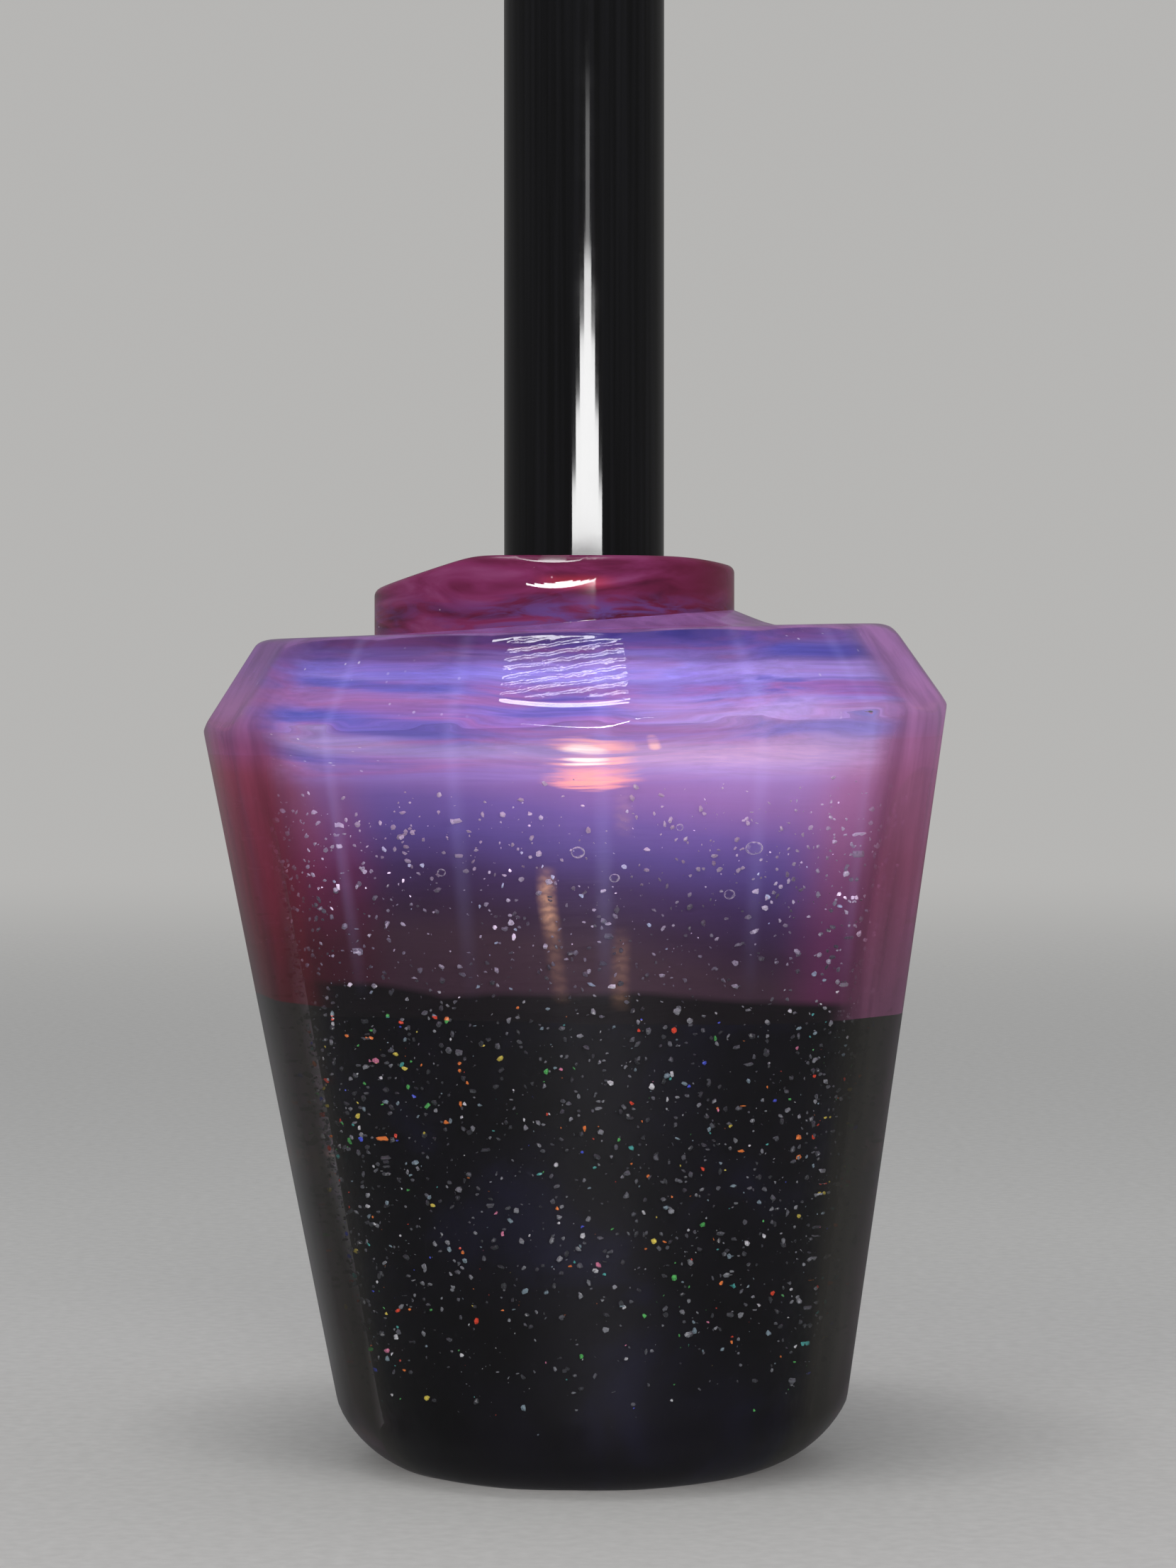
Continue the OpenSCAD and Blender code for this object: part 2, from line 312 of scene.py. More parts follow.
def ground(radius, height):
    """Radius of the head after the facets are ground, with edges that the polish has softened."""
    flank = flank_r(height) - facet_depth * math.hypot(1, flank_slope)
    chamfer = girth_d / 2 - (height - girth_height) * chamfer_slope
    chamfer = chamfer - facet_depth * math.hypot(1, chamfer_slope)
    stack = [(radius * np.ones_like(around))[None]]
    for apothem, turn in ((flank, 0), (chamfer, chamfer_turn)):
        facing = np.cos(around - facet_turns[:, None] - turn)
        stack.append(np.where(facing > facet_reach, apothem / np.maximum(facing, facet_reach), far_off))
    stack = np.vstack(stack)
    low = stack.min(0)
    return low - facet_soft * np.log(np.exp(-(stack - low) / facet_soft).sum(0))


def polish_marks():
    """Shared polish of the resin pieces: a roughness of faint smears, and a soft wave with hairlines."""
    group = bpy.data.node_groups.new("polish_marks", "ShaderNodeTree")
    group.interface.new_socket("Vector", in_out="INPUT", socket_type="NodeSocketVector")
    for name, value in (("Scale", 1.0), ("Polished", 0.02), ("Smeared", 0.12)):
        socket = group.interface.new_socket(name, in_out="INPUT", socket_type="NodeSocketFloat")
        socket.default_value = value
    for name in ("Roughness", "Height"):
        group.interface.new_socket(name, in_out="OUTPUT", socket_type="NodeSocketFloat")
    enter = group.nodes.new("NodeGroupInput").outputs
    sized = vector(group, "SCALE", enter["Vector"], Scale=enter["Scale"])
    smear = mapped(group, noise(group, sized, 45, 5), 0.45, 0.75)
    hair = noise(group, stretched(group, sized, (1, 1, 0.05), (0.5, 0.9, 0.3)), 900, 2)
    lines = times(group, mapped(group, hair, 0.66, 0.76), 0.02)
    span = calc(group, "SUBTRACT", enter["Smeared"], enter["Polished"])
    add(group, "NodeGroupOutput", {
        "Roughness": plus(group, times(group, smear, span), enter["Polished"]),
        "Height": calc(group, "SUBTRACT", noise(group, sized, 90, 1), lines)})
    return group


polish = polish_marks()


def marked(tree, place, polished, smeared, scale=1.0):
    """Roughness and height of the shared polish, as set for one piece."""
    return add(tree, "ShaderNodeGroup", {
        "Vector": place, "Scale": scale, "Polished": polished, "Smeared": smeared}, node_tree=polish).outputs


def either(tree, share, a, b):
    return add(tree, "ShaderNodeMixShader", {0: share, 1: a.outputs[0], 2: b.outputs[0]})


def clear(tree, level):
    return add(tree, "ShaderNodeBsdfTransparent", {"Color": (level, level, level, 1)})


def resin_glass(name, thin, deep, near, far, cloudy, polished=0.01, smeared=0.05, turned=False, edge_glint_strength=0.0):
    """Clear tinted resin: thin is its tint face on, deep its tint through the long way at the edges.

    deep is one tint, or a list of heights and tints; cloudy is how far it hides what lies behind it there.
    A turned piece has tool marks on its chamfer, and the last argument sets faint pale lines of painted
    highlight that glow along the facet edges.
    """
    finish, tree = new_finish(name)
    place = where(tree)
    x, y, level = split(tree, place)
    marks = marked(tree, place, polished, smeared)
    # The way through is long at the sides; the facets do not change it
    geometry = add(tree, "ShaderNodeNewGeometry").outputs
    normal = geometry["Normal"]
    upward = split(tree, normal)[2]
    leant = times(tree, calc(tree, "SUBTRACT", level, split_height * MM), math.tan(head_lean))
    outward = add(tree, "ShaderNodeCombineXYZ", {0: plus(tree, x, leant), 1: y}).outputs[0]
    outward = vector(tree, "NORMALIZE", outward)
    steep = mapped(tree, upward, 0.6, 0.9)
    smooth = add(tree, "ShaderNodeMix", {0: steep, 4: outward, 5: normal}, data_type="VECTOR").outputs[1]
    edge = add(tree, "ShaderNodeLayerWeight", {"Blend": 0.5, "Normal": smooth}).outputs["Facing"]
    # On the flank and the girth the polish has softened the facets
    inward = mapped(tree, geometry["Backfacing"], 0, 1, 1, -1)
    sideways = calc(tree, "SQRT", calc(tree, "SUBTRACT", 1.0, times(tree, upward, upward)))
    tilted = vector(tree, "SCALE", outward, Scale=times(tree, inward, sideways))
    tilted = vector(tree, "ADD", tilted, add(tree, "ShaderNodeCombineXYZ", {2: upward}).outputs[0])
    flank = mapped(tree, calc(tree, "ABSOLUTE", upward), 0.44, 0.53, 0.75, 0)
    softened = add(tree, "ShaderNodeMix", {0: flank, 4: normal, 5: tilted}, data_type="VECTOR").outputs[1]
    veil = noise(tree, stretched(tree, place, (1, 1, 0.15)), 90, 4, Distortion=0.5)
    if turned:
        near, far = (mapped(tree, level, 0.09, 0.0965, *ends) for ends in (near, far))
    depth = eased(tree, plus(tree, edge, swing(tree, veil, 0.16)), near, far)
    if isinstance(deep, list):
        deep = ramp(tree, times(tree, level, 10), [(height * 10, colour) for height, colour in deep])
        rightward = mapped(tree, x, 0, 0.03, 0, 0.2)
        higher = mapped(tree, level, 0.076, 0.09, 1, 2.2)
        deep = mixed(tree, times(tree, rightward, higher), deep, (0.4, 0.18, 0.38))
    tint = mixed(tree, depth, thin, deep)
    tint = mixed(tree, 1.0, tint, mapped(tree, veil, 0.3, 0.7, 0.82, 1.0), "MULTIPLY")
    rough, relief = marks["Roughness"], bumped(tree, marks["Height"], 1.0, 0.00004, softened)
    if turned:
        low, high = mapped(tree, level, 0.0958, 0.0965), mapped(tree, level, 0.1024, 0.1034, 1, 0)
        azimuth = calc(tree, "ARCTAN2", x, times(tree, y, -1))
        facet = times(tree, mapped(tree, azimuth, -0.225, -0.21), mapped(tree, azimuth, 0.115, 0.13, 1, 0))
        chamfer = times(tree, low, high, facet)
        # A lip along the foot of the facet, where the polish ends
        bow = times(tree, calc(tree, "POWER", plus(tree, azimuth, 0.045), 2), 0.02)
        lip = eased(tree, calc(tree, "SUBTRACT", level, bow), 0.0949, 0.0955, 1, 0)
        lathe = add(tree, "ShaderNodeTexWave", {
            "Vector": stretched(tree, place, (1, 1, 1), (0, 0.15, 0)), "Scale": 330, "Distortion": 3,
            "Detail": 4, "Detail Scale": 2.5, "Detail Roughness": 0.6},
            wave_type="BANDS", bands_direction="Z").outputs["Fac"]
        cut = plus(tree, lathe, times(tree, noise(tree, place, 1500, 2), 0.45))
        cut = plus(tree, times(tree, cut, chamfer), times(tree, lip, facet))
        relief = bumped(tree, cut, 1.0, 0.00006, relief)
        rough = plus(tree, times(tree, chamfer, 0.02), rough)
    glass = add(tree, "ShaderNodeBsdfPrincipled", {
        "Base Color": tint, "Roughness": rough, "IOR": 1.5, "Transmission Weight": 1.0, "Normal": relief})
    # Painted highlight: pale lines that glow along the facet edges, where the soft edges catch the light
    if edge_glint_strength:
        gap = add(tree, "ShaderNodeAttribute", attribute_name="facet_edge").outputs["Fac"]
        painted_edge_glint = eased(tree, gap, 0, 0.0016, edge_glint_strength, 0)
        painted_edge_glint = times(tree, painted_edge_glint, mapped(tree, level, 0.06, 0.074), veil)
        tree.links.new(mixed(tree, painted_edge_glint, (0, 0, 0), (0.5, 0.5, 1.0)), glass.inputs["Emission Color"])
        glass.inputs["Emission Strength"].default_value = 1.0
    streaks = noise(tree, stretched(tree, place, (1, 1, 0.06)), 260, 4, Distortion=0.3)
    deep = mixed(tree, 1.0, deep, mapped(tree, streaks, 0.35, 0.65, 0.78, 1.22), "MULTIPLY")
    # The cloudy part glows a little with its own tint: painted light for the light scattered inside the resin
    haze = add(tree, "ShaderNodeBsdfPrincipled", {
        "Base Color": deep, "Roughness": rough, "IOR": 1.5, "Normal": relief, "Emission Color": deep,
        "Emission Strength": 0.3})
    body = either(tree, times(tree, depth, cloudy), glass, haze)
    shadow = add(tree, "ShaderNodeLightPath").outputs["Is Shadow Ray"]
    finished(tree, either(tree, shadow, body, clear(tree, 0.9)))
    return finish


base_clear = resin_glass("base_clear", (0.85, 0.84, 0.86), (0.016, 0.0145, 0.012), 0.36, 0.5, 0.75)
bond, tree = new_finish("bond")
finished(tree, clear(tree, 1))

foot_corner = (flank_r(-foot_sink), -foot_sink)
bend = rounded((0, -foot_sink), foot_corner, (girth_d / 2, girth_height), foot_round, 18)
split_edge = on_split(lambda height: ground(flank_r(height), height))
outside = [pole(-foot_sink)] + [ring(bend[0][0] * share, -foot_sink) for share in (0.4, 0.8)]
outside += [ring(ground(r, z), z) for r, z in bend]
for share in np.linspace(0, 1, 21)[1:]:
    height = bend[-1][1] + share * (split_edge - bend[-1][1])
    outside.append(ring(ground(flank_r(height), height), height))
cavity = core_wall(bond_gap)
base = skin("base_cast", [leaning(loop) for loop in outside] + cavity, [base_clear, bond],
            [0] * (len(outside) - 1) + [1] * len(cavity))
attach(base, "head")
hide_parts("clear_base")

# Opal flakes
# Crushed opal stirred into the clear resin before it was poured. Most chips settled close to the core,
# so they lie at slightly different depths, milky with a few that flash a colour.
flake_flash, tree = new_finish("flake_flash")
tone = add(tree, "ShaderNodeAttribute", attribute_name="flake_tone").outputs["Fac"]
place = where(tree)
level = split(tree, place)[2]
hue = ramp(tree, times(tree, tone, mapped(tree, level, 0.058, 0.061, 1.0, 0.85)), [
    (0.0, (0.05, 0.053, 0.06)), (0.32, (0.11, 0.115, 0.13)), (0.58, (0.24, 0.25, 0.27)),
    (0.76, (0.65, 0.66, 0.68)), (0.8, (0.22, 0.3, 0.34)), (0.86, (0.8, 0.07, 0.03)),
    (0.89, (0.95, 0.25, 0.05)), (0.92, (0.1, 0.5, 0.12)), (0.945, (0.08, 0.4, 0.36)),
    (0.96, (0.08, 0.12, 0.75)), (0.975, (0.75, 0.62, 0.1)), (0.99, (0.8, 0.25, 0.4))], "CONSTANT")
grain = noise(tree, place, 4000, 2)
milky, paler = mapped(tree, grain, 0.3, 0.7, 0.6, 1.1), mapped(tree, level, 0.06, 0.08, 1.2, 2.9)
hue = mixed(tree, 1.0, hue, times(tree, milky, paler), "MULTIPLY")
hue = mixed(tree, mapped(tree, level, 0.06, 0.064), hue, (0.92, 0.78, 0.95), "MULTIPLY")
hue = mixed(tree, mapped(tree, level, 0.073, 0.083, 0, 0.7), hue, (0.52, 0.39, 0.57))
# The flakes glow a little from their own colour, more above the split: painted light for the light that reaches
# them through the resin
coat(tree, {
    "Base Color": hue, "Roughness": plus(tree, times(tree, grain, 0.3), 0.15), "Emission Color": hue,
    "Emission Strength": mapped(tree, level, 0.06, 0.07, 0.15, 0.35)})

opal = bpy.data.node_groups.new("opal_scatter", "GeometryNodeTree")
for name, kind in (("Geometry", "Geometry"), ("Density", "Float"), ("Lift", "Float"), ("Size", "Float"),
                   ("Seed", "Int"), ("Finish", "Material")):
    opal.interface.new_socket(name, in_out="INPUT", socket_type="NodeSocket" + kind)
opal.interface.new_socket("Geometry", in_out="OUTPUT", socket_type="NodeSocketGeometry")
enter = opal.nodes.new("NodeGroupInput").outputs


def grown(kind, inputs, **settings):
    return add(opal, "GeometryNode" + kind, inputs, **settings).outputs[0]


def chance(low, high, offset):
    """A random number for each flake, from the tree's seed."""
    return add(opal, "FunctionNodeRandomValue", {
        2: low, 3: high, "Seed": plus(opal, enter["Seed"], offset)}, data_type="FLOAT").outputs[1]


thick = grown("InputNamedAttribute", {"Name": "flake_share"}, data_type="FLOAT")
sown = add(opal, "GeometryNodeDistributePointsOnFaces", {
    "Mesh": enter["Geometry"], "Density": times(opal, thick, enter["Density"]), "Seed": enter["Seed"]},
    distribute_method="RANDOM").outputs
rise = times(opal, calc(opal, "POWER", chance(0.05, 1, 11), 2.2), enter["Lift"])
lifted = grown("SetPosition", {
    "Geometry": sown["Points"], "Offset": vector(opal, "SCALE", sown["Normal"], Scale=rise)})
chip = grown("MeshIcoSphere", {"Radius": 1.0, "Subdivisions": 1})
turn = add(opal, "FunctionNodeRandomValue", {
    0: (0, 0, 0), 1: (6.283, 6.283, 6.283), "Seed": plus(opal, enter["Seed"], 3)}, data_type="FLOAT_VECTOR")
big = times(opal, calc(opal, "POWER", chance(0.4, 1, 5), 3.0), enter["Size"])
shape = add(opal, "ShaderNodeCombineXYZ", {
    0: big, 1: times(opal, big, chance(0.6, 1.0, 6)), 2: times(opal, big, 0.55)})
chips = grown("InstanceOnPoints", {
    "Points": lifted, "Instance": chip, "Rotation": turn.outputs[0], "Scale": shape.outputs[0]})
toned = grown("StoreNamedAttribute", {
    "Geometry": chips, "Name": "flake_tone", "Value": chance(0, 1, 8)}, data_type="FLOAT", domain="INSTANCE")
solid = grown("RealizeInstances", {"Geometry": toned})
jag = add(opal, "ShaderNodeTexNoise", {"Scale": 2600, "Detail": 1}).outputs["Color"]
nudge = vector(opal, "SCALE", vector(opal, "SUBTRACT", jag, (0.5, 0.5, 0.5)), Scale=0.0005)
broken = grown("SetPosition", {"Geometry": solid, "Offset": nudge})
faced = grown("SetMaterial", {"Geometry": broken, "Material": enter["Finish"]})
add(opal, "NodeGroupOutput", {"Geometry": faced})

bed_gap, bed_rows = 0.35, np.linspace(87.5, 4, 64)
bed_swell = np.interp(bed_rows, [82, 84, 86, 87.5], [0, 0.2, 0.8, 1.1])
bed_sinks = core_round - np.sqrt(core_round ** 2 - np.maximum(0, core_foot + core_round - bed_rows) ** 2)
bed = skin("flake_bed", [leaning(ring(core_r(z) + bed_gap - sink + swell, z))
                         for z, sink, swell in zip(bed_rows, bed_sinks, bed_swell)], [flake_flash])
share = bed.data.attributes.new("flake_share", "FLOAT", "POINT")
heights = np.array([v.co.z / MM for v in bed.data.vertices])
share.data.foreach_set("value", np.interp(
    heights, [8, 12, 16, 22, 30, 57, 61, 75, 82, 85, 87.5],
    [0, 0.25, 0.6, 0.85, 1, 1.05, 0.75, 0.95, 0.8, 0.5, 0.1]).astype(np.float32))
sowing = bed.modifiers.new("scatter", "NODES")
sowing.node_group = opal
for item in opal.interface.items_tree:
    if item.in_out == "INPUT" and item.name != "Geometry":
        sowing[item.identifier] = {"Density": 700000.0, "Lift": 0.003, "Size": 0.00046, "Seed": 7,
                                   "Finish": flake_flash}[item.name]
mesh = bpy.data.meshes.new_from_object(bed.evaluated_get(bpy.context.evaluated_depsgraph_get()))
bpy.data.objects.remove(bed)
flakes = placed("opal_flakes", mesh)
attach(flakes, "head")

# Bubbles
# A few air bubbles that stayed in the clear ring, each a clear middle in a bright rim with a glint; rim and
# glint are painted reflection.
# They are small balls, placed one by one.
bubble_painted_rim, tree = new_finish("bubble_painted_rim")
grain = noise(tree, where(tree), 2500, 2)
# Painted reflection: the rim brightens by facing alone, and its colour glows a little
painted_rim = add(tree, "ShaderNodeLayerWeight", {"Blend": 0.5}).outputs["Facing"]
painted_rim = mapped(tree, plus(tree, painted_rim, times(tree, grain, 1.3)), 0.95, 1.5, 0.0, 0.75)
shade = ramp(tree, grain, [(0.35, (0.5, 0.45, 0.6)), (0.6, (0.85, 0.82, 0.9))])
bright = add(tree, "ShaderNodeBsdfPrincipled", {
    "Base Color": shade, "Roughness": times(tree, grain, 0.3), "Emission Color": shade,
    "Emission Strength": 0.15})
finished(tree, either(tree, painted_rim, clear(tree, 1), bright))
balls = bmesh.new()
for bx, by, bz, size in (
        (-0.5, -27, 78.6, 0.85), (17.2, -20.3, 79.0, 0.95), (15.1, -22.1, 73.4, 0.7), (3.0, -26.8, 75.5, 0.6),
        (-14.5, -22.8, 76.2, 0.55), (9.8, -25.4, 81.5, 0.5), (-24, 12, 77, 0.8), (10, 26, 72, 0.7)):
    ball = bmesh.ops.create_icosphere(balls, subdivisions=3, radius=0.85 * size * MM)
    bmesh.ops.translate(balls, vec=(bx * MM, by * MM, bz * MM), verts=ball["verts"])
mesh = bpy.data.meshes.new("bubbles")
balls.to_mesh(mesh)
balls.free()
mesh.materials.append(bubble_painted_rim)
mesh.shade_smooth()
bubbles = placed("bubbles", mesh)
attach(bubbles, "head")

# Crown's heart
# The coloured inside of the head's upper half: lilac resin with blue and pink pigment drawn through it,
# cast as a goblet on a plug that stands on the core. The clear castings round it are bonded to it.
girth_round, shoulder_round, band_top = 5.0, 4.5, 90.0
collar_r, collar_shift, seat_height, seat_tilt = 22.5, 3.7, 105.1, radians(4.7)
skirt_slope, skirt_soft = radians(22), 0.3
heart_paint, tree = new_finish("heart_paint")
place = where(tree)
x, y, z = split(tree, place)
on_right = calc(tree, "GREATER_THAN", x, 0.0)
# Pigment drawn out in level streaks
sway = add(tree, "ShaderNodeTexNoise", {"Vector": place, "Scale": 20, "Detail": 2}).outputs
pull = vector(tree, "SCALE", sway["Color"], Scale=0.1)
warped = vector(tree, "ADD", stretched(tree, place, (1, 1, 15), (0, 0.03, 0)), pull)
streak = noise(tree, warped, 20, 4, Roughness=0.5)
thread = noise(tree, warped, 55, 3)
side = mapped(tree, x, -0.04, 0.04, -0.03, 0.04)
lilac = ramp(tree, plus(tree, streak, side), [
    (0.34, (0.1, 0.1, 0.46)), (0.41, (0.2, 0.15, 0.52)), (0.47, (0.33, 0.15, 0.45)),
    (0.53, (0.26, 0.19, 0.58)), (0.6, (0.32, 0.27, 0.72)), (0.67, (0.4, 0.25, 0.6)), (0.75, (0.3, 0.28, 0.75))])
lilac = mixed(tree, mapped(tree, thread, 0.6, 0.7, 0, 0.6), lilac, (0.07, 0.08, 0.42))
mist = plus(tree, noise(tree, warped, 9, 3, Distortion=0.4), side)
lilac = mixed(tree, mapped(tree, mist, 0.5, 0.68, 0, 0.7), lilac, (0.52, 0.38, 0.66))
# Broad streaks that were laid in by hand
turn = calc(tree, "ARCTAN2", x, times(tree, y, -1))
wavy = calc(tree, "SUBTRACT", z, swing(tree, sway["Fac"], 0.005))
for height, thick, middle, spread, colour, most in (
        (0.0922, 0.0011, -42, 34, (0.1, 0.11, 0.46), 0.75), (0.0966, 0.0009, -36, 24, (0.12, 0.12, 0.5), 0.8),
        (0.1008, 0.0014, 50, 26, (0.1, 0.13, 0.6), 0.8), (0.0928, 0.0013, 58, 40, (0.2, 0.2, 0.62), 0.7),
        (0.0988, 0.002, -36, 26, (0.18, 0.15, 0.55), 0.5), (0.0945, 0.0018, -48, 40, (0.34, 0.15, 0.38), 0.7),
        (0.0903, 0.0014, -30, 40, (0.4, 0.32, 0.62), 0.6), (0.0902, 0.0018, 30, 34, (0.52, 0.36, 0.62), 0.7),
        (0.0948, 0.002, 24, 24, (0.44, 0.32, 0.68), 0.5)):
    off = calc(tree, "DIVIDE", distance(tree, wavy, height), thick)
    along = eased(tree, off, 0.2, 1.0, most, 0)
    off = distance(tree, turn, radians(middle))
    across = eased(tree, off, radians(spread * 0.5), radians(spread), 1, 0)
    lilac = mixed(tree, times(tree, along, across), lilac, colour)
# The plug, from the split up to the crown
level = plus(tree, mapped(tree, z, 0.056, 0.094), swing(tree, sway["Fac"], 0.22),
             mapped(tree, x, -0.02, 0.02, -0.13, 0.06))
plug = ramp(tree, level, [
    (0.1, (0.05, 0.025, 0.04)), (0.2, (0.052, 0.027, 0.044)), (0.3, (0.042, 0.021, 0.05)),
    (0.42, (0.056, 0.03, 0.1)), (0.55, (0.1, 0.067, 0.24)), (0.66, (0.155, 0.098, 0.32)),
    (0.78, (0.28, 0.15, 0.39)), (0.92, (0.38, 0.23, 0.53))])
# Rose at the plug's sides, where the clear ring is looked through the long way
outward = vector(tree, "NORMALIZE", add(tree, "ShaderNodeCombineXYZ", {0: x, 1: y}).outputs[0])
beside = add(tree, "ShaderNodeLayerWeight", {"Blend": 0.5, "Normal": outward}).outputs["Facing"]
beside = eased(tree, beside, 0.2, 0.54)
height_dm = times(tree, z, 10)
rose_left = ramp(tree, height_dm, [
    (0.59, (0.05, 0.008, 0.016)), (0.68, (0.08, 0.013, 0.03)), (0.766, (0.18, 0.028, 0.09)),
    (0.85, (0.25, 0.085, 0.19))])
rose_right = ramp(tree, height_dm, [
    (0.59, (0.13, 0.03, 0.085)), (0.68, (0.16, 0.042, 0.13)), (0.766, (0.28, 0.1, 0.24)),
    (0.85, (0.4, 0.17, 0.37))])
plug = mixed(tree, beside, plug, mixed(tree, on_right, rose_left, rose_right))
ledge = plus(tree, z, mapped(tree, x, -0.022, -0.014, -0.0025, 0), swing(tree, sway["Fac"], 0.007))
plug = mixed(tree, mapped(tree, ledge, 0.0597, 0.0606, 1, 0), plug, (0.008, 0.006, 0.008))
lilac = mixed(tree, times(tree, beside, 0.5), lilac, (0.42, 0.18, 0.34))
# Raspberry drawn from the collar into the left of the shoulder, and less light the higher it lies
from_left = mapped(tree, x, -0.014, 0.004, 0.65, 0)
drawn_up = mapped(tree, wavy, 0.0985, 0.1025)
lilac = mixed(tree, times(tree, from_left, drawn_up), lilac, (0.24, 0.05, 0.13))
lilac = mixed(tree, 1.0, lilac, ramp(tree, height_dm, [
    (0.905, (1, 0.93, 0.9)), (0.945, (0.86, 0.84, 0.81)), (0.97, (0.88, 0.88, 0.84)),
    (0.985, (0.95, 0.95, 1.03)), (1.0, (0.75, 0.72, 0.85)), (1.015, (0.56, 0.51, 0.62))]), "MULTIPLY")
lilac = mixed(tree, 1.0, lilac, mapped(tree, x, -0.005, 0.02, 1, 1.09), "MULTIPLY")
fibre = mapped(tree, noise(tree, warped, 150, 6, Roughness=0.72), 0.35, 0.65, 0.87, 1.13)
lilac = mixed(tree, 1.0, lilac, fibre, "MULTIPLY")
outer = eased(tree, z, 0.086, 0.0905)
shade = mixed(tree, outer, plug, lilac)
# Amber where the brass stud shows through, painted: ribbed glints of its reflection on the plug, and glowing
# spots under the girth
slant = mapped(tree, z, 0.059, 0.073, radians(4.9), radians(8.8))
slant = add(tree, "ShaderNodeMix", {0: on_right, 2: slant, 3: radians(8.6)}).outputs[0]
apart = distance(tree, calc(tree, "PINGPONG", turn, radians(60)), slant)
ribs = add(tree, "ShaderNodeTexWave", {
    "Vector": place, "Scale": 260, "Distortion": 6, "Detail": 3, "Detail Scale": 3},
    wave_type="BANDS", bands_direction="Z").outputs["Fac"]
level = plus(tree, level, 0.035)
left = curve(tree, level, [(0.06, 0), (0.1, 0.1), (0.26, 0.16), (0.34, 0.65), (0.44, 0.6), (0.52, 0)])
right = curve(tree, level, [
    (0.06, 0), (0.1, 0.14), (0.24, 0.16), (0.34, 0), (0.64, 0), (0.7, 0.16), (0.76, 0.12), (0.82, 0)])
painted_stud_glint = times(tree, eased(tree, apart, 0.0, 0.055, 1, 0), mixed(tree, on_right, left, right),
             plus(tree, times(tree, ribs, 0.5), 0.5))
shade = mixed(tree, painted_stud_glint, shade, (0.75, 0.42, 0.26))
# Painted glow: warm spots of the stud's reflection under the girth, which also raise the emission below
front = mapped(tree, y, -0.015, -0.025)
wave = swing(tree, thread, 7)
ember = mapped(tree, noise(tree, warped, 110, 4, Roughness=0.6), 0.36, 0.56, 0.2, 1)
painted_spot_glow = 0.0
for middle, height, wide, tall, colour, most in (
        (0.0005, 0.0899, 0.0042, 0.0013, (0.95, 0.42, 0.34), 0.8),
        (-0.0001, 0.0897, 0.0022, 0.0007, (1, 0.8, 0.75), 1.0),
        (0.0008, 0.0876, 0.0042, 0.0009, (0.95, 0.36, 0.28), 0.8),
        (0.0075, 0.0906, 0.0006, 0.001, (1, 0.55, 0.42), 0.6)):
    across = calc(tree, "DIVIDE", calc(tree, "SUBTRACT", x, middle), wide)
    upward = plus(tree, wave, calc(tree, "DIVIDE", calc(tree, "SUBTRACT", z, height), tall))
    far = plus(tree, times(tree, across, across), times(tree, upward, upward))
    spot = times(tree, eased(tree, far, 0.0, 2.0, most, 0), front, ember)
    shade = mixed(tree, spot, shade, colour)
    painted_spot_glow = calc(tree, "MAXIMUM", spot, painted_spot_glow)
# Pin bubbles under the shoulder
cells = add(tree, "ShaderNodeTexVoronoi", {"Vector": place, "Scale": 420}).outputs["Distance"]
pins = times(tree, mapped(tree, cells, 0.06, 0.1, 0.7, 0), mapped(tree, sway["Fac"], 0.5, 0.6), outer)
shade = mixed(tree, pins, shade, (0.75, 0.72, 0.85))
# Painted light: the heart glows from its own colour, most just under the girth, for light carried in through the
# translucent resin
painted_glow = curve(tree, height_dm, [
    (0.58, 0.3), (0.75, 0.44), (0.85, 0.65), (0.895, 0.95), (0.925, 0.9), (0.955, 0.65), (0.99, 0.3)])
coat(tree, {
    "Base Color": shade, "Roughness": plus(tree, times(tree, thread, 0.3), 0.35), "Specular IOR Level": 0.1,
    "Normal": bumped(tree, streak, 0.3, 0.0008), "Subsurface Weight": 0.3, "Subsurface Scale": 0.002,
    "Subsurface Radius": (1.0, 0.7, 1.2), "Emission Color": shade,
    "Emission Strength": plus(tree, painted_glow, times(tree, painted_spot_glow, 0.4))})


def shoulder_level(x):
    return split_height + (shoulder_height - split_height) / math.cos(head_lean) + x * math.tan(head_lean)


def seat_level(x):
    return seat_height + x * math.tan(seat_tilt)


def soft_max(a, b, soft):
    return np.maximum(a, b) + soft * np.log1p(np.exp(-np.abs(a - b) / soft))


def collar_ring(radius):
    """A circle about the collar's axis, which stands left of the handle's."""
    return radius * np.cos(around) - collar_shift, radius * np.sin(around)


def top_level(px, py):
    """Height of the crown's top: its flat shoulder, with a skirt that rises to the collar's seat."""
    away = np.hypot(px + collar_shift, py)
    skirt = seat_level(collar_r - collar_shift) - (away - collar_r) * math.tan(skirt_slope)
    return soft_max(shoulder_level(px), np.minimum(skirt, seat_level(px)), skirt_soft)


def heart_wall(gap, low, high):
    """Loops of the heart's side between two heights: the plug, and the goblet's foot under the girth."""
    loops = []
    for share in np.linspace(0, 1, 24):
        height = low + share ** 0.7 * (high - low)
        widen = np.interp(height, [82, 84, 86, 88, 89, 90, 90.8, 91.6, 92.6, heart_girth],
                          [0, 0.2, 0.8, 2, 3, 4.6, 8.5, 14, 17, heart_swell])
        loops.append(leaning(ring(core_r(height) + gap + widen, height)))
    return loops


heart_girth, heart_swell = 94.0, 17.2
heart_r = core_r(heart_girth) + heart_swell
brow = [leaning(ring(heart_r - (h - heart_girth) * chamfer_slope - inset, h)) for h, inset in (
    (95.5, 0), (97, 0), (98.5, 0), (100, 0), (101, 0), (101.5, 0.3), (101.9, 0.9), (102.1, 1.8))]


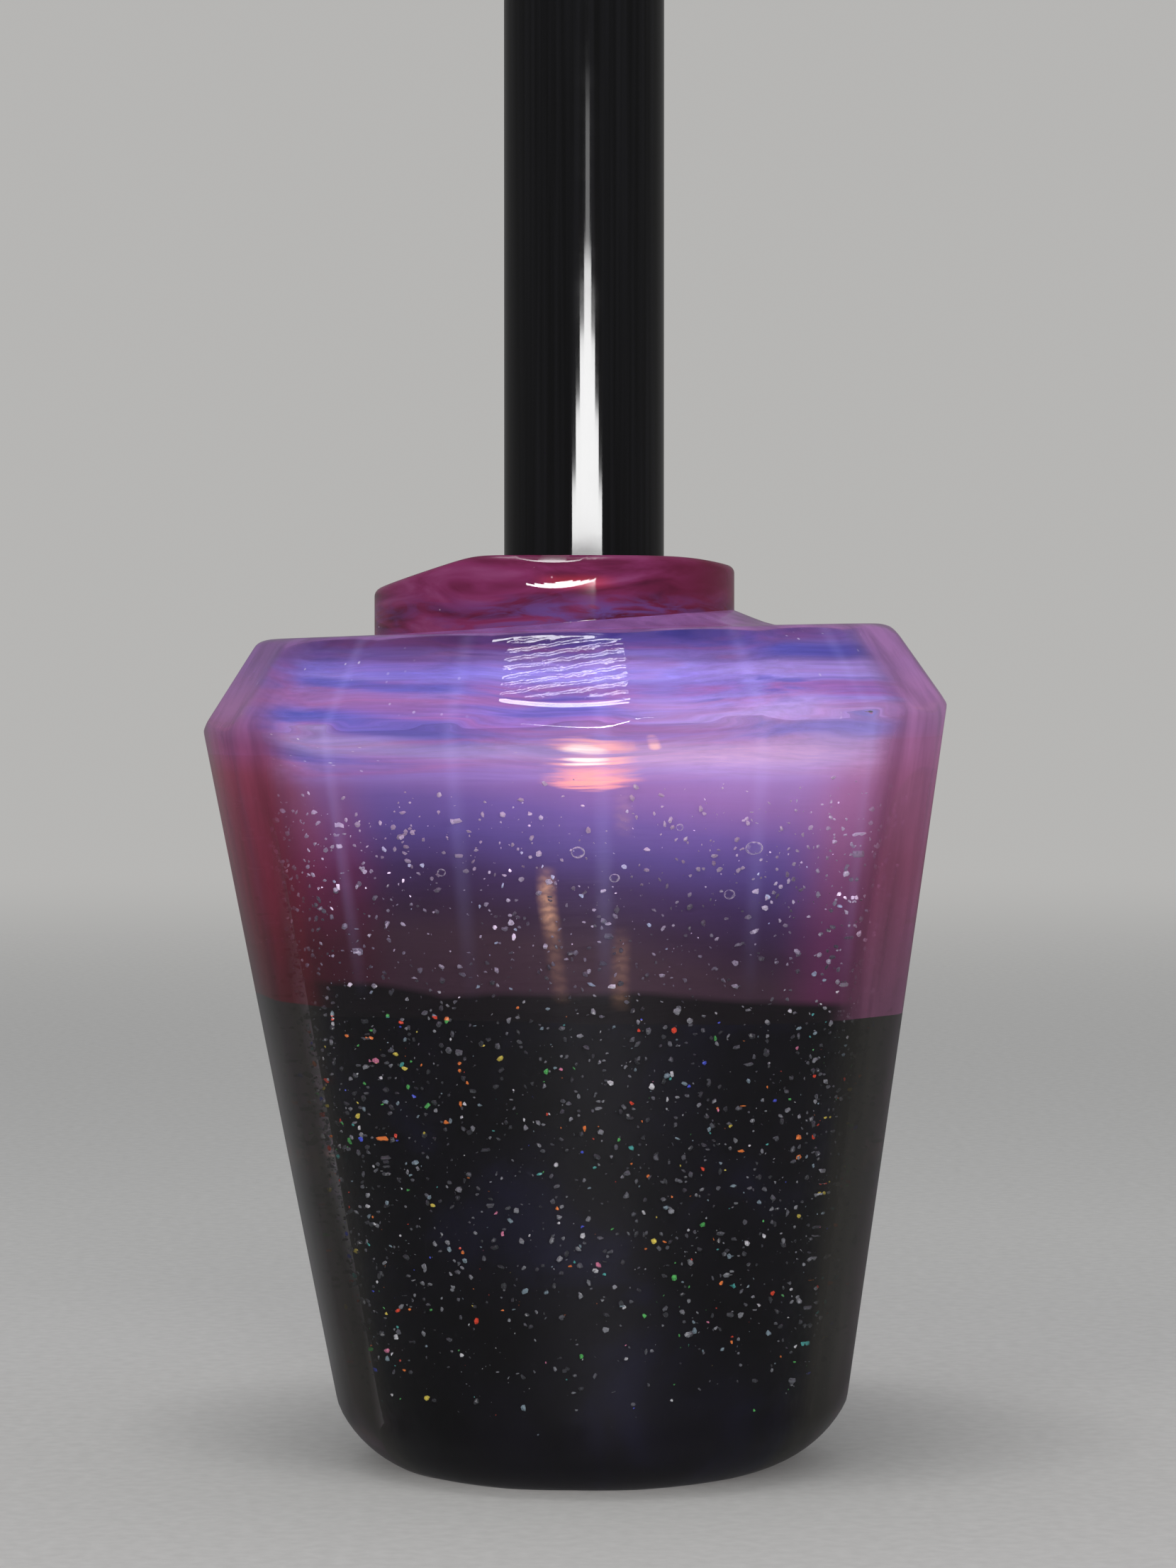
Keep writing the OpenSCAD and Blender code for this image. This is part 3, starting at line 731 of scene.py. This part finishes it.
def heart_top(gap):
    """Loops of the heart's top, from its brow in under the collar."""
    rim_x, rim_y = collar_ring(collar_r - 1.2)
    loops = []
    for share in np.linspace(0, 1, 9)[1:]:
        px = brow[-1][:, 0] + share * (rim_x - brow[-1][:, 0])
        py = brow[-1][:, 1] + share * (rim_y - brow[-1][:, 1])
        cover = 1.9 * (1 - share ** 2)
        height = np.minimum(top_level(px, py) - cover, seat_level(px) + 9 * (1 - share))
        loops.append(np.stack([px, py, height + gap], 1))
    return loops


hole_foot = leaning(ring(hole_r, on_split(lambda height: hole_r)))
hole_head = ring(hole_r, seat_level(hole_r * np.cos(around)))
under_x, under_y = collar_ring(14)
heart = skin("crown_heart", [hole_foot] + heart_wall(0, on_split(core_r), heart_girth) + brow + heart_top(0)
             + [np.stack([under_x, under_y, seat_level(under_x)], 1), hole_head], [heart_paint], wrap=True)
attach(heart, "head")

# Violet crown
# The clear lilac resin over the heart, with the girth, chamfer and shoulder. The chamfer is turned and
# keeps fine marks of the tool; the rest is polished. It is bonded to the heart and to the band below.
crown_thin, crown_edge = (0.97, 0.92, 0.97), (0.24, 0.06, 0.15)
crown_clear = resin_glass("crown_clear", crown_thin, [
    (0.09, crown_edge), (0.0945, (0.28, 0.12, 0.28)), (0.104, (0.22, 0.1, 0.29))],
    (0.33, 0.4), (0.52, 0.66), 0.82, polished=0.02, smeared=0.07, turned=True, edge_glint_strength=0.12)
girth, shoulder = (girth_d / 2, girth_height), (shoulder_d / 2, shoulder_height)
girth_bend = rounded((foot_d / 2, 0), girth, shoulder, girth_round, 12)
shoulder_bend = rounded(girth, shoulder, (0, shoulder_height), shoulder_round, 10)
rows = [(flank_r(h), h) for h in np.linspace(band_top, girth_bend[0][1], 4)[:-1]] + list(girth_bend)
rows += [girth_bend[-1] + s * (shoulder_bend[0] - girth_bend[-1]) for s in np.linspace(0, 1, 8)[1:-1]]
rows += list(shoulder_bend)
outside = [leaning(ring(ground(r, h), h)) for r, h in rows]
top_x, top_y = outside[-1][:, 0], outside[-1][:, 1]
rim_x, rim_y = collar_ring(collar_r + bond_gap)
for share in np.linspace(0, 1, 15)[1:]:
    px, py = top_x + share * (rim_x - top_x), top_y + share * (rim_y - top_y)
    flat = shoulder_level(px)
    outside.append(np.stack([px, py, flat + min(1, share * 4) * (top_level(px, py) - flat)], 1))
seat_x, seat_y = collar_ring(collar_r - 0.02)
inside = [np.stack([seat_x, seat_y, seat_level(seat_x)], 1)] + heart_top(bond_gap)[::-1]
inside += [loop + [0, 0, bond_gap] for loop in brow[::-1]]
inside += heart_wall(bond_gap, np.full_like(around, band_top), heart_girth)[::-1]
crown = skin("crown_cast", outside + inside, [crown_clear, bond],
             [0] * (len(outside) - 1) + [1] * (len(inside) + 1), wrap=True)
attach(crown, "head")
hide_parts("violet_crown")

# Rose band
# A ring of clear rose resin between the split and the crown, poured round the heart's plug. It is
# ground and polished together with the casting below it, so the facets run on through the joint.
band_rose = resin_glass("band_rose", crown_thin, [
    (0.058, (0.05, 0.005, 0.008)), (0.066, (0.08, 0.007, 0.015)), (0.073, (0.12, 0.01, 0.026)),
    (0.082, (0.16, 0.02, 0.045)), (0.0865, (0.2, 0.032, 0.065)), (0.09, crown_edge)],
    0.33, 0.52, 0.82, edge_glint_strength=0.1)
outside = []
for share in np.linspace(0, 1, 22):
    height = split_edge + share * (band_top - split_edge)
    outside.append(leaning(ring(ground(flank_r(height), height), height)))
plug_foot = on_split(lambda height: core_r(height) + bond_gap)
inside = heart_wall(bond_gap, plug_foot, np.full_like(around, band_top))[::-1]
band = skin("band_cast", outside + inside, [band_rose, bond],
            [0] * (len(outside) - 1) + [1] * (len(inside) + 1), wrap=True)
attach(band, "head")
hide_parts("rose_band")

# Collar
# A ring of cloudy raspberry resin, bonded off centre on the crown's sloping seat, cut at a slant on its
# left and bevelled by hand at the front. The handle's foot stands in its socket.
collar_top, collar_round, socket_floor, socket_r = 113.3, 0.8, 107.8, 10.2
cut_start, cut_slope, ease_start, ease_slope = 9.0, radians(17), 12.0, radians(10)
bevel_foot, bevel_slope = 110.6, radians(64)
collar_red, tree = new_finish("collar_red")
place = where(tree)
x, y, z = split(tree, place)
marks = marked(tree, place, 0.02, 0.09)
drawn = stretched(tree, place, (1, 1, 4), (0, 0.12, 0))
cloud = noise(tree, drawn, 75, 5, Distortion=0.9)
swirl = noise(tree, drawn, 130, 4, Distortion=1.6)
shade = ramp(tree, cloud, [
    (0.3, (0.05, 0.005, 0.02)), (0.45, (0.11, 0.011, 0.045)), (0.58, (0.16, 0.02, 0.08)),
    (0.72, (0.2, 0.04, 0.12))])
shade = mixed(tree, mapped(tree, x, 0.006, 0.014, 0, 0.6), shade, (0.1, 0.006, 0.024))
# Violet of the crown below, painted into its foot where the crown shows through the resin
low = mapped(tree, z, 0.1066, 0.1088, 1, 0)
middle = mapped(tree, calc(tree, "ABSOLUTE", x), 0.004, 0.016, 1, 0.3)
painted_crown_violet = times(tree, low, middle, mapped(tree, swirl, 0.42, 0.58, 0, 0.85))
shade = mixed(tree, painted_crown_violet, shade, (0.1, 0.05, 0.2))
cells = add(tree, "ShaderNodeTexVoronoi", {"Vector": place, "Scale": 520}).outputs["Distance"]
pins = times(tree, mapped(tree, cells, 0.05, 0.09, 0.8, 0), calc(tree, "GREATER_THAN", swirl, 0.56))
shade = mixed(tree, pins, shade, (0.6, 0.4, 0.5))
# Red light that gathers behind the bevel
near = eased(tree, calc(tree, "ABSOLUTE", plus(tree, x, 0.001)), 0.001, 0.006, 1, 0)
level = eased(tree, distance(tree, z, 0.1098), 0.0002, 0.0012, 0.75, 0)
shade = mixed(tree, times(tree, near, level, cloud), shade, (0.6, 0.05, 0.06))
dull = mapped(tree, z, 0.1121, 0.1128, 0, 0.3)
# The ring glows a little from its own colour: painted light for the light that passes through the resin
coat(tree, {
    "Base Color": shade, "Roughness": plus(tree, marks["Roughness"], dull), "IOR": 1.5,
    "Normal": bumped(tree, marks["Height"], 1.0, 0.00008), "Subsurface Weight": 0.3,
    "Subsurface Radius": (1.0, 0.3, 0.6), "Subsurface Scale": 0.0015, "Emission Color": shade,
    "Emission Strength": 0.35})


def collar_face(x, y):
    """The collar's top: flat, falling away at the slanting cut, a little on the right, and at the front."""
    left = collar_top + (x + collar_shift + cut_start) * math.tan(cut_slope)
    right = collar_top - (x - ease_start) * math.tan(ease_slope)
    front = bevel_foot + (y + collar_r) * math.tan(bevel_slope)
    return -soft_max(-np.minimum(np.minimum(left, right), front), np.full_like(x, -collar_top + 0.2), 0.28)


loops = []
px, py = collar_ring(collar_r)
low, high = seat_level(px), collar_face(px, py) - collar_round
for share in np.linspace(0, 1, 7):
    loops.append(np.stack([px, py, low + share * (high - low)], 1))
for angle in np.linspace(0, math.pi / 2, 7)[1:]:
    qx, qy = collar_ring(collar_r - collar_round + collar_round * math.cos(angle))
    loops.append(np.stack([qx, qy, collar_face(qx, qy) - collar_round + collar_round * math.sin(angle)], 1))
qx, qy = collar_ring(collar_r - collar_round)
for share in np.linspace(0, 1, 14)[1:]:
    tx = qx + share * ((socket_r + 0.4) * np.cos(around) - qx)
    ty = qy + share * ((socket_r + 0.4) * np.sin(around) - qy)
    loops.append(np.stack([tx, ty, collar_face(tx, ty)], 1))
face = collar_face(socket_r * np.cos(around), socket_r * np.sin(around))
loops += [ring(socket_r + 0.1, face - 0.12), ring(socket_r, face - 0.4)]
loops += [ring(socket_r, socket_floor + s * (face - 0.4 - socket_floor)) for s in (0.5, 0.02)]
loops += [ring(socket_r - 0.15, socket_floor), ring(hole_r + 0.2, socket_floor)]
loops += [ring(hole_r, socket_floor - 0.2), ring(hole_r, seat_level(hole_r * np.cos(around)) + 0.02)]
collar = skin("collar_ring", loops, [collar_red, bond], [0] * (len(loops) - 1) + [1], wrap=True)
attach(collar, "head")
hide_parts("collar")

# Stud
# A length of brass thread, bonded into the head. The handle screws onto its upper end.
stud_pitch, stud_top, stud_bevel, thread_depth = 1.25, 129.3, 0.8, 0.72


def metal(name, dark, bright, rough, stretch):
    """Turned or drawn metal with fine lines and a little tarnish."""
    finish, tree = new_finish(name)
    place = where(tree)
    lines = noise(tree, stretched(tree, place, stretch), 900, 3)
    coat(tree, {
        "Base Color": ramp(tree, noise(tree, place, 130, 5), [(0.3, dark), (0.65, bright)]), "Metallic": 1.0,
        "Roughness": plus(tree, times(tree, lines, 0.2), rough - 0.1),
        "Normal": bumped(tree, lines, 0.5, 0.00004)})
    return finish


brass = metal("brass", (0.55, 0.34, 0.12), (0.83, 0.6, 0.26), 0.3, (1, 1, 1))
thread_turns = np.arange(40) * full_turn / 40
loops = [pole(stud_foot)]
for height in np.arange(stud_foot, stud_top + 1e-6, stud_pitch / 6):
    phase = (height / stud_pitch - thread_turns / full_turn) % 1
    tooth = np.clip(np.abs(phase - 0.5) * 2 * 1.25 - 0.1, 0, 1)
    limit = stud_d / 2 - stud_bevel + np.clip(min(height - stud_foot, stud_top - height), 0, stud_bevel)
    loops.append(ring(np.minimum(stud_d / 2 - thread_depth * (1 - tooth), limit), height, thread_turns))
loops.append(pole(stud_top))
stud = skin("stud_thread", loops, [brass])
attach(stud, "head")
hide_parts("stud")

# Seat washer
# A punched rubber washer in the bottom of the socket, between the collar and the handle's foot.
# It lies loose on the stud.


def rubber(name, dark, bright, low, high, scale, depth):
    """Moulded black rubber with a fine grain, dusty in patches."""
    finish, tree = new_finish(name)
    place = where(tree)
    patch = noise(tree, place, 70, 4)
    coat(tree, {
        "Base Color": ramp(tree, patch, [(0.35, dark), (0.7, bright)]),
        "Roughness": mapped(tree, patch, 0.3, 0.7, low, high),
        "Normal": bumped(tree, noise(tree, place, scale, 3), 0.5, depth)})
    return finish


def dress(finish, *nodes):
    """Gives a finish to parts that keep their solids."""
    for node in nodes:
        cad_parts[node].data.materials[0] = finish


dress(rubber("washer_rubber", (0.02, 0.02, 0.021), (0.045, 0.044, 0.043), 0.6, 0.8, 1800, 0.0001), "seat_washer")

# Foot bush and sleeve
# The handle's outer tube and the bush that closes its foot, extruded and turned from gloss black
# plastic. The bush is pressed in, and the tube is polished by handling.


def gloss_black(name, low, high, draw):
    """Gloss black plastic with faint lines of drawing or turning, and smears from hands."""
    finish, tree = new_finish(name)
    place = where(tree)
    lines = noise(tree, stretched(tree, place, draw), 1400, 2)
    coat(tree, {
        "Base Color": ramp(tree, lines, [(0.35, (0.0035, 0.0035, 0.004)), (0.7, (0.008, 0.008, 0.0095))]),
        "Roughness": marked(tree, place, low, high, 1.4)["Roughness"], "IOR": 1.49, "Specular IOR Level": 0.4,
        "Normal": bumped(tree, lines, 0.25, 0.000006)})
    return finish


dress(gloss_black("sleeve_black", 0.05, 0.14, (1, 1, 0.01)), "handle_sleeve")
dress(gloss_black("bush_black", 0.12, 0.25, (0.05, 0.05, 1)), "foot_bush")

# Thread insert, dowel and foam
# Inside the sleeve: a beech dowel with a brass insert screwed into its foot, and a foam liner round it.
# The dowel is turned along its grain, and the foam is a slit tube pushed over it.
dress(metal("insert_brass", (0.5, 0.31, 0.1), (0.8, 0.58, 0.25), 0.32, (1, 1, 6)), "thread_insert")

beech, tree = new_finish("beech")
place = where(tree)
grain = noise(tree, stretched(tree, place, (1, 1, 0.04)), 420, 6, Distortion=0.4)
rays = noise(tree, stretched(tree, place, (1, 1, 0.12)), 1900, 1)
shade = ramp(tree, grain, [(0.3, (0.52, 0.33, 0.18)), (0.7, (0.74, 0.54, 0.34))])
fleck = ramp(tree, rays, [(0.6, (1, 1, 1)), (0.72, (0.72, 0.62, 0.52))])
coat(tree, {
    "Base Color": mixed(tree, 1.0, shade, fleck, "MULTIPLY"),
    "Roughness": curve(tree, grain, [(0.3, 0.7), (0.7, 0.5)]), "Normal": bumped(tree, grain, 0.4, 0.0001)})
dress(beech, "dowel")

foam, tree = new_finish("foam")
cells = add(tree, "ShaderNodeTexVoronoi", {"Vector": where(tree), "Scale": 1500}).outputs["Distance"]
coat(tree, {
    "Base Color": ramp(tree, cells, [(0.1, (0.7, 0.7, 0.68)), (0.6, (0.88, 0.88, 0.86))]),
    "Roughness": curve(tree, cells, [(0, 0.95), (1, 0.8)]), "Normal": bumped(tree, cells, 0.6, 0.0002)})
dress(foam, "foam_liner")

# Knob and its fixing
# A moulded rubber knob on the handle's end, held by a steel washer and a wood screw, with a plug over
# them that is pressed into the knob.
dress(rubber("knob_rubber", (0.022, 0.022, 0.024), (0.05, 0.049, 0.048), 0.5, 0.72, 1500, 0.00012), "knob")
dress(rubber("plug_rubber", (0.03, 0.03, 0.031), (0.06, 0.059, 0.057), 0.45, 0.65, 1100, 0.00015), "knob_plug")
steel = metal("steel", (0.42, 0.43, 0.45), (0.66, 0.67, 0.69), 0.3, (1, 1, 5))
dress(steel, "knob_washer", "knob_screw")

# Floor, light and camera
# A pale plain table top that fades into a pale surround, a low wide lamp at the front that narrows upwards
# in steps, and a soft one above.
floor_r = 2.6
floor_pale, tree = new_finish("floor_pale")
place = where(tree)
shade = ramp(tree, noise(tree, place, 500, 3), [(0.3, (0.63, 0.62, 0.6)), (0.7, (0.69, 0.68, 0.66))])
away = add(tree, "ShaderNodeVectorMath", {0: place}, operation="LENGTH").outputs["Value"]
path = add(tree, "ShaderNodeLightPath").outputs
# Painted shade: seen in reflections the floor is dark grey
shade = mixed(tree, path["Is Glossy Ray"], shade, (0.2, 0.2, 0.2))
matt = add(tree, "ShaderNodeBsdfPrincipled", {
    "Base Color": shade, "Roughness": 0.8, "Specular IOR Level": 0.2})
finished(tree, either(tree, eased(tree, away, 0.3, 1.7), matt, clear(tree, 1)))
disc = bmesh.new()
bmesh.ops.create_circle(disc, cap_ends=True, segments=96, radius=floor_r)
floor_mesh = bpy.data.meshes.new("floor")
disc.to_mesh(floor_mesh)
disc.free()
floor_mesh.materials.append(floor_pale)
floor = placed("floor", floor_mesh)

scene = bpy.context.scene
scene.view_settings.view_transform = "Standard"
world = bpy.data.worlds.new("surround")
scene.world = world
world.use_nodes = True
tree = world.node_tree
tree.nodes.clear()
path = add(tree, "ShaderNodeLightPath").outputs
seen = calc(tree, "MAXIMUM", path["Is Camera Ray"], calc(
    tree, "MAXIMUM", path["Is Glossy Ray"], path["Is Transmission Ray"]))
level = add(tree, "ShaderNodeMix", {0: path["Is Glossy Ray"], 2: 1.0, 3: 0.3}).outputs[0]
fill = add(tree, "ShaderNodeBackground", {"Color": (0.95, 0.97, 1.0, 1), "Strength": 0.42})
pale = add(tree, "ShaderNodeBackground", {"Color": (0.47, 0.465, 0.455, 1), "Strength": level})
finished(tree, either(tree, seen, fill, pale), "ShaderNodeOutputWorld")


def lamp(name, wide, tall, spot, aim, radiance):
    """An oblong area lamp at a spot, turned to face aim, with a given radiance."""
    light = bpy.data.lights.new(name, "AREA")
    light.shape, light.size, light.size_y = "RECTANGLE", wide, tall
    light.energy = radiance * wide * tall * math.pi
    fitting = placed(name, light)
    fitting.location = spot
    fitting.rotation_euler = (Vector(aim) - Vector(spot)).to_track_quat("-Z", "Y").to_euler()


front_x, front_y = 0.09, -1.0
for low, high, wide, radiance in (
        (0.137, 0.161, 0.78, 29), (0.161, 0.185, 0.58, 29), (0.185, 0.209, 0.38, 29), (0.209, 0.233, 0.17, 26),
        (0.233, 0.285, 0.1, 4)):
    middle = (low + high) / 2
    lamp(f"front_lamp_{round(low * 1000)}", wide, high - low, (front_x, front_y, middle), (front_x, 0, middle),
         radiance)
lamp("top_lamp", 0.42, 0.16, (-0.065, -0.28, 1.03), (0, 0, 0.1), 14)

lens = bpy.data.cameras.new("camera")
lens.sensor_fit, lens.sensor_height, lens.lens = "VERTICAL", 36.0, 110.0
camera = placed("camera", lens)
camera.location = (0.0005, -0.6, 0.1005)
camera.rotation_euler = (math.pi / 2 - radians(1.49), 0, 0)
scene.camera = camera
